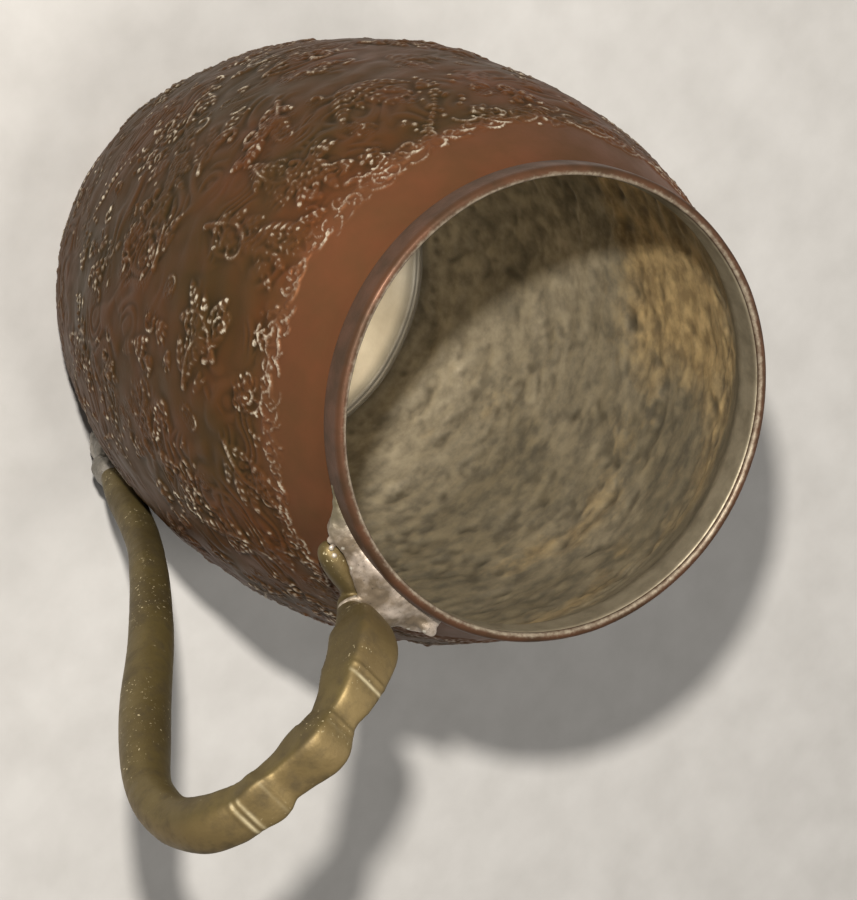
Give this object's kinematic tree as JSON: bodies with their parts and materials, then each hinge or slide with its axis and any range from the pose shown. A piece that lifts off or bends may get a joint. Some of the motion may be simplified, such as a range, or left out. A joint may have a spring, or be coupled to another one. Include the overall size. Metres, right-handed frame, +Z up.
{
  "type": "copper mug",
  "caption": "Barrel-shaped raised copper mug with a plain rim band, foliage relief, a tinned inside and a cast brass loop handle soldered at the rim and the foot.",
  "frame": {"origin": "centre of the flat base, on the surface the mug stands on", "axes": "+Z up along the axis of the mug, +X through the middle of the handle"},
  "size_m": [0.1311, 0.092, 0.1308],
  "materials": {
    "copper": "patinated copper, burnished on the relief",
    "tinned_copper": "worn tin over copper",
    "dark_copper": "dark brown patinated copper",
    "brass": "aged olive brass with bright scratches",
    "soft_solder": "dull grey soft solder"
  },
  "bodies": {
    "root": {"body_shell": "copper", "base_disc": "tinned_copper", "rim_band": "dark_copper", "handle": "brass", "upper_solder": "soft_solder", "lower_solder": "soft_solder"}
  },
  "joints": []
}
